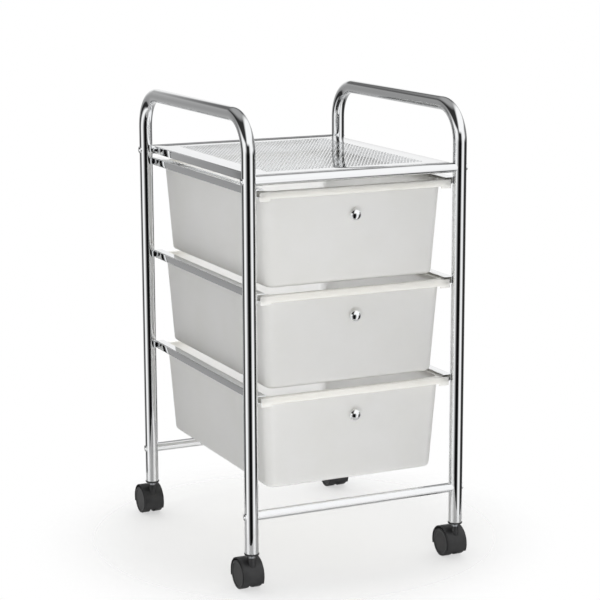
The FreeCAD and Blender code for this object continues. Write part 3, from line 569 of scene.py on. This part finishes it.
for corner in ("front_left", "front_right", "back_left", "back_right"):
    low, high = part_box(f"{corner}_caster_hood")
    stem = Vector(((low.x + high.x) / 2, high.y - HOOD_RADIUS - TRAIL, 0))
    axle = stem + Vector((0, TRAIL, WHEEL_RADIUS))
    across = Vector((1, 0, 0))

    bm = bmesh.new()
    outline(bm, [stem + Vector((radius, 0, height)) * MM for radius, height in COLLAR_PROFILE])
    turn_round(bm, stem, (0, 0, 1), COLLAR_SIDES)
    add_piece(bm, f"{corner}_leg_collar", nylon, "frame", [f"{corner}_caster_socket"])

    # The hood's roof, drawn round the axle from its back edge to its front edge.
    bm = bmesh.new()
    hood_front = math.degrees(math.asin((WHEEL_RADIUS - low.z) / HOOD_RADIUS))
    sweep = 180 + hood_front + HOOD_BACK
    back_edge = axle + Matrix.Rotation(math.radians(-HOOD_BACK), 3, "X") @ Vector((0, HOOD_RADIUS, 0))
    lip = outline(bm, [back_edge + across * x for x in (-HOOD_HALF, HOOD_HALF)])
    bend(bm, lip, axle, across, sweep, HOOD_STEPS)
    roof = max(bm.faces, key=lambda face: face.calc_center_median().z)
    face_outward(bm, roof, Vector((0, 0, 1)))
    bmesh.ops.solidify(bm, geom=bm.faces[:], thickness=HOOD_WALL)
    rims = [edge for edge in bm.edges if edge.calc_face_angle() > math.radians(HOOD_RIM)]
    round_off(bm, rims, HOOD_EDGE, EDGE_STEPS)

    # The web in its middle, and the boss for the stem, whose foot follows the roof.
    shell = set(bm.faces)
    rim_point = axle + (back_edge - axle) * (1 - HOOD_WALL / 2 / HOOD_RADIUS)
    spoke = outline(bm, [point - across * WEB_HALF for point in (axle, rim_point)])
    bend(bm, spoke, axle, across, sweep, HOOD_STEPS)
    bmesh.ops.remove_doubles(bm, verts=bm.verts[:], dist=WELD)
    web = [face for face in bm.faces if face not in shell]
    far_side = verts_of(bmesh.ops.extrude_face_region(bm, geom=web)["geom"])
    bmesh.ops.translate(bm, verts=far_side, vec=across * 2 * WEB_HALF)
    boss = bmesh.ops.create_circle(
        bm, cap_ends=True, segments=BOSS_SIDES, radius=BOSS_RADIUS,
        matrix=Matrix.Translation(stem + Vector((0, 0, BOSS_TOP))),
    )["verts"]
    boss_rim = edges_between(bm, boss)
    boss_foot = draw_out(bm, boss_rim, (0, 0, -HOOD_WALL))
    for vert in {vert for edge in boss_foot for vert in edge.verts}:
        vert.co.z = axle.z + math.sqrt((HOOD_RADIUS - HOOD_WALL / 2) ** 2 - (vert.co.y - axle.y) ** 2)
    round_off(bm, boss_rim, BOSS_EDGE, EDGE_STEPS)
    bmesh.ops.recalc_face_normals(bm, faces=bm.faces[:])
    add_piece(
        bm, f"{corner}_hood_moulding", nylon, f"{corner}_caster", [f"{corner}_caster_hood"]
    )

    for side, out in (("left", -1), ("right", 1)):
        bm = bmesh.new()
        outline(bm, [axle + Vector((out * x, 0, radius)) * MM for x, radius in WHEEL_PROFILE])
        turn_round(bm, axle, across, WHEEL_SIDES)
        add_piece(
            bm, f"{corner}_{side}_wheel_moulding", nylon, f"{corner}_caster_wheel_{side}",
            [f"{corner}_caster_wheel_{side}"],
        )


# Hidden fixings: zinc-plated steel plugs in the bars, screws behind the knobs, and the casters' stems
# and axles. They keep the solids they have.

ZINC_CLOUD = 3 * MM

# Zinc plate on steel: a soft, bluish grey metal with a cloudy, slightly dull surface.
zinc, tree = new_material("zinc_plated_steel")
where = add_node(tree, "ShaderNodeTexCoord", {}, {})
cloud = add_node(
    tree, "ShaderNodeTexNoise", {"Scale": 1 / ZINC_CLOUD, "Detail": 4}, {"Vector": where.outputs["Object"]}
)
dull = add_node(
    tree, "ShaderNodeMapRange", {"To Min": 0.22, "To Max": 0.45}, {"Value": cloud.outputs["Fac"]}
)
pitted = add_node(
    tree, "ShaderNodeBump", {"Strength": 0.1, "Distance": 0.05 * MM}, {"Height": cloud.outputs["Fac"]}
)
surface = add_node(
    tree, "ShaderNodeBsdfPrincipled", {"Base Color": linear("#B9BCC0"), "Metallic": 1},
    {"Roughness": dull.outputs["Result"], "Normal": pitted.outputs["Normal"]},
)
add_node(tree, "ShaderNodeOutputMaterial", {}, {"Surface": surface.outputs["BSDF"]})

for name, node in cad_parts.items():
    if name == "bar_inserts" or name.endswith(("knob_screw", "caster_stem", "caster_axle")):
        node.data.materials.clear()
        node.data.materials.append(zinc)


# Floor: a plain pale sweep that keeps the cart's soft shadow and fades out round it into the white
# background, for the eye and in polished metal.

FLOOR_RADIUS = 0.46
FLOOR_SIDES = 64
FLOOR_CLEAR = 0.2  # radius inside which the shadow is at its full depth
FLOOR_FADED = 0.4  # radius outside which only the white background is seen
FLOOR_VEIL = 0.5  # share of background over the shadow, and over the floor in polished metal
FLOOR_MOTTLE = 120 * MM

# Matt paint on a smooth floor: pale and even, with a slightly mottled sheen.
floor_paint, tree = new_material("pale_studio_floor")
where = add_node(tree, "ShaderNodeTexCoord", {}, {})
distance = add_node(tree, "ShaderNodeVectorMath", {"operation": "LENGTH"}, {0: where.outputs["Object"]})
fade = add_node(
    tree, "ShaderNodeMapRange",
    {
        "interpolation_type": "SMOOTHSTEP", "From Min": FLOOR_CLEAR, "From Max": FLOOR_FADED,
        "To Min": FLOOR_VEIL, "To Max": 1,
    },
    {"Value": distance.outputs["Value"]},
)
path = add_node(tree, "ShaderNodeLightPath", {}, {})
direct = add_node(
    tree, "ShaderNodeMath", {"operation": "MAXIMUM"},
    {0: path.outputs["Is Camera Ray"], 1: path.outputs["Is Transmission Ray"]},
)
to_eye = add_node(
    tree, "ShaderNodeMath", {"operation": "MULTIPLY"}, {0: fade.outputs["Result"], 1: direct.outputs["Value"]}
)
veil = add_node(
    tree, "ShaderNodeMath", {"operation": "MULTIPLY_ADD", 1: FLOOR_VEIL},
    {0: path.outputs["Is Glossy Ray"], 2: to_eye.outputs["Value"]},
)
mottle = add_node(
    tree, "ShaderNodeTexNoise", {"Scale": 1 / FLOOR_MOTTLE, "Detail": 2}, {"Vector": where.outputs["Object"]}
)
rough = add_node(tree, "ShaderNodeMapRange", {"To Min": 0.7, "To Max": 0.9}, {"Value": mottle.outputs["Fac"]})
paint = add_node(
    tree, "ShaderNodeBsdfPrincipled", {"Base Color": linear("#F4F4F4"), "Specular IOR Level": 0.2},
    {"Roughness": rough.outputs["Result"]},
)
clear = add_node(tree, "ShaderNodeBsdfTransparent", {}, {})
mixed = add_node(
    tree, "ShaderNodeMixShader", {},
    {"Fac": veil.outputs["Value"], 1: paint.outputs["BSDF"], 2: clear.outputs["BSDF"]},
)
add_node(tree, "ShaderNodeOutputMaterial", {}, {"Surface": mixed.outputs["Shader"]})

bm = bmesh.new()
bmesh.ops.create_circle(bm, cap_ends=True, segments=FLOOR_SIDES, radius=FLOOR_RADIUS)
mesh = bpy.data.meshes.new("studio_floor")
bm.to_mesh(mesh)
bm.free()
mesh.materials.append(floor_paint)
floor = bpy.data.objects.new("studio_floor", mesh)
bpy.context.scene.collection.objects.link(floor)


# Studio: a white room, lit most behind the cart, and one large soft lamp from the front left. Polished metal
# sees it as white cards with dark gaps between them, under a ceiling that is lit at the front right and a
# little at the back.

CAMERA_TURN = -25.17  # degrees, the side that the camera stands on
GLOW_FRONT, GLOW_BEHIND = 0.41, 1.9  # the room's light, least and most
LAMP_SIZE = 1.0
LAMP_POWER = 13.6
LAMP_PLACE = Vector((-0.4, -1.25, 0.1))
LAMP_AIM = Vector((0, 0, 0.2))
COLOUR_A, COLOUR_B, COLOUR_OUT = 6, 7, 2  # a Mix node's sockets for colours

# Brightness of the cards below and above eye level, by degrees round from the camera.
LOW_CARDS = (
    (-180, 0.7), (-170, 0.5), (-158, 0.4), (-143, 0.37), (-131, 0.3), (-124, 0.28), (-118, 0.03), (-98, 0.02),
    (-88, 0.3), (-75, 1.0), (-54, 0.95), (-35, 0.33), (-20, 0.004), (20, 0.004), (35, 0.79), (54, 1.0),
    (67, 0.75), (75, 0.15), (80, 0.03), (122, 0.02), (132, 0.08), (146, 0.25), (158, 0.35), (170, 0.5),
    (180, 0.7),
)
HIGH_CARDS = (
    (-180, 0.95), (-160, 0.8), (-145, 0.45), (-130, 0.3), (-112, 0.25), (-97, 0.4), (-78, 0.95), (-45, 1.0),
    (-30, 0.5), (-18, 0.02), (18, 0.02), (32, 0.8), (45, 1.0), (78, 0.95), (97, 0.3), (114, 0.15),
    (131, 0.25), (150, 0.6), (165, 0.85), (180, 0.95),
)

world = bpy.data.worlds.new("studio")
bpy.context.scene.world = world
world.use_nodes = True
tree = world.node_tree
tree.nodes.clear()
way = add_node(tree, "ShaderNodeTexCoord", {}, {})

# The cards, in a low and a high ring.
turned = add_node(
    tree, "ShaderNodeVectorRotate", {"rotation_type": "Z_AXIS", "Angle": math.radians(90 - CAMERA_TURN)},
    {"Vector": way.outputs["Generated"]},
)
round_about = add_node(
    tree, "ShaderNodeTexGradient", {"gradient_type": "RADIAL"}, {"Vector": turned.outputs["Vector"]}
)
rings = []
for cards in (LOW_CARDS, HIGH_CARDS):
    ring = add_node(tree, "ShaderNodeValToRGB", {}, {"Fac": round_about.outputs["Fac"]})
    stops = ring.color_ramp.elements
    for degrees, grey in cards[1:-1]:
        stops.new(0.5 + degrees / 360).color = (grey, grey, grey, 1)
    for stop, (degrees, grey) in ((stops[0], cards[0]), (stops[-1], cards[-1])):
        stop.color = (grey, grey, grey, 1)
    rings.append(ring)
reach = add_node(tree, "ShaderNodeSeparateXYZ", {}, {"Vector": turned.outputs["Vector"]})
above_eye = add_node(
    tree, "ShaderNodeMapRange", {"interpolation_type": "SMOOTHSTEP", "From Min": -0.08, "From Max": 0.1},
    {"Value": reach.outputs["Z"]},
)
walls = add_node(
    tree, "ShaderNodeMix", {"data_type": "RGBA"},
    {0: above_eye.outputs["Result"], COLOUR_A: rings[0].outputs["Color"], COLOUR_B: rings[1].outputs["Color"]},
)

# The ceiling over them.
front_right = add_node(
    tree, "ShaderNodeVectorMath", {"operation": "DOT_PRODUCT", 1: (1, -1, 0)}, {0: way.outputs["Generated"]}
)
back_above = add_node(
    tree, "ShaderNodeVectorMath", {"operation": "DOT_PRODUCT", 1: (0, 0.5, 0.85)},
    {0: way.outputs["Generated"]},
)
unlit = add_node(
    tree, "ShaderNodeMapRange",
    {"interpolation_type": "SMOOTHSTEP", "From Min": 0.74, "From Max": 0.95, "To Min": 0.03, "To Max": 0.35},
    {"Value": back_above.outputs["Value"]},
)
ceiling = add_node(
    tree, "ShaderNodeMapRange",
    {"interpolation_type": "SMOOTHSTEP", "From Min": -0.05, "From Max": 0.5, "To Max": 1},
    {"Value": front_right.outputs["Value"], "To Min": unlit.outputs["Result"]},
)
overhead = add_node(
    tree, "ShaderNodeMapRange", {"interpolation_type": "SMOOTHSTEP", "From Min": 0.27, "From Max": 0.44},
    {"Value": reach.outputs["Z"]},
)
room = add_node(
    tree, "ShaderNodeMix", {"data_type": "RGBA"},
    {
        0: overhead.outputs["Result"],
        COLOUR_A: walls.outputs[COLOUR_OUT],
        COLOUR_B: ceiling.outputs["Result"],
    },
)

# The room's soft light, for what isn't polished, and the white background.
behind = add_node(
    tree, "ShaderNodeVectorMath", {"operation": "DOT_PRODUCT", 1: (0.25, 1, 0)}, {0: way.outputs["Generated"]}
)
glow = add_node(
    tree, "ShaderNodeMapRange",
    {"From Min": 0, "From Max": 0.9, "To Min": GLOW_FRONT, "To Max": GLOW_BEHIND},
    {"Value": behind.outputs["Value"]},
)
path = add_node(tree, "ShaderNodeLightPath", {}, {})
in_metal = add_node(
    tree, "ShaderNodeMix", {"data_type": "RGBA"},
    {
        0: path.outputs["Is Glossy Ray"],
        COLOUR_A: glow.outputs["Result"],
        COLOUR_B: room.outputs[COLOUR_OUT],
    },
)
direct = add_node(
    tree, "ShaderNodeMath", {"operation": "MAXIMUM"},
    {0: path.outputs["Is Camera Ray"], 1: path.outputs["Is Transmission Ray"]},
)
seen = add_node(
    tree, "ShaderNodeMix", {"data_type": "RGBA", COLOUR_B: (1, 1, 1, 1)},
    {0: direct.outputs["Value"], COLOUR_A: in_metal.outputs[COLOUR_OUT]},
)
light = add_node(tree, "ShaderNodeBackground", {"Strength": 1}, {"Color": seen.outputs[COLOUR_OUT]})
add_node(tree, "ShaderNodeOutputWorld", {}, {"Surface": light.outputs["Background"]})

lamp = bpy.data.lights.new("soft_box", "AREA")
lamp.shape = "SQUARE"
lamp.size = LAMP_SIZE
lamp.energy = LAMP_POWER
soft_box = bpy.data.objects.new("soft_box", lamp)
soft_box.location = LAMP_PLACE
soft_box.rotation_euler = (LAMP_AIM - LAMP_PLACE).to_track_quat("-Z", "Y").to_euler()
soft_box.visible_glossy = False
bpy.context.scene.collection.objects.link(soft_box)

bpy.context.scene.view_settings.view_transform = "Standard"


# Camera: above the handles and to the left of the cart's front, looking down a little.
# Its long lens keeps the legs nearly parallel.

SENSOR_WIDTH = 36  # mm
LENS = 115.35  # mm
CAMERA_PLACE = (-1.147367, -2.464146, 0.902963)
CAMERA_TILT = 11.503  # degrees below level
CAMERA_ROLL = -0.193  # degrees

camera = bpy.data.cameras.new("camera")
camera.sensor_width = SENSOR_WIDTH
camera.lens = LENS
viewpoint = bpy.data.objects.new("camera", camera)
viewpoint.location = CAMERA_PLACE
aim = (
    Matrix.Rotation(math.radians(CAMERA_TURN), 3, "Z")
    @ Matrix.Rotation(math.radians(90 - CAMERA_TILT), 3, "X")
    @ Matrix.Rotation(math.radians(CAMERA_ROLL), 3, "Z")
)
viewpoint.rotation_euler = aim.to_euler()
bpy.context.scene.collection.objects.link(viewpoint)
bpy.context.scene.camera = viewpoint
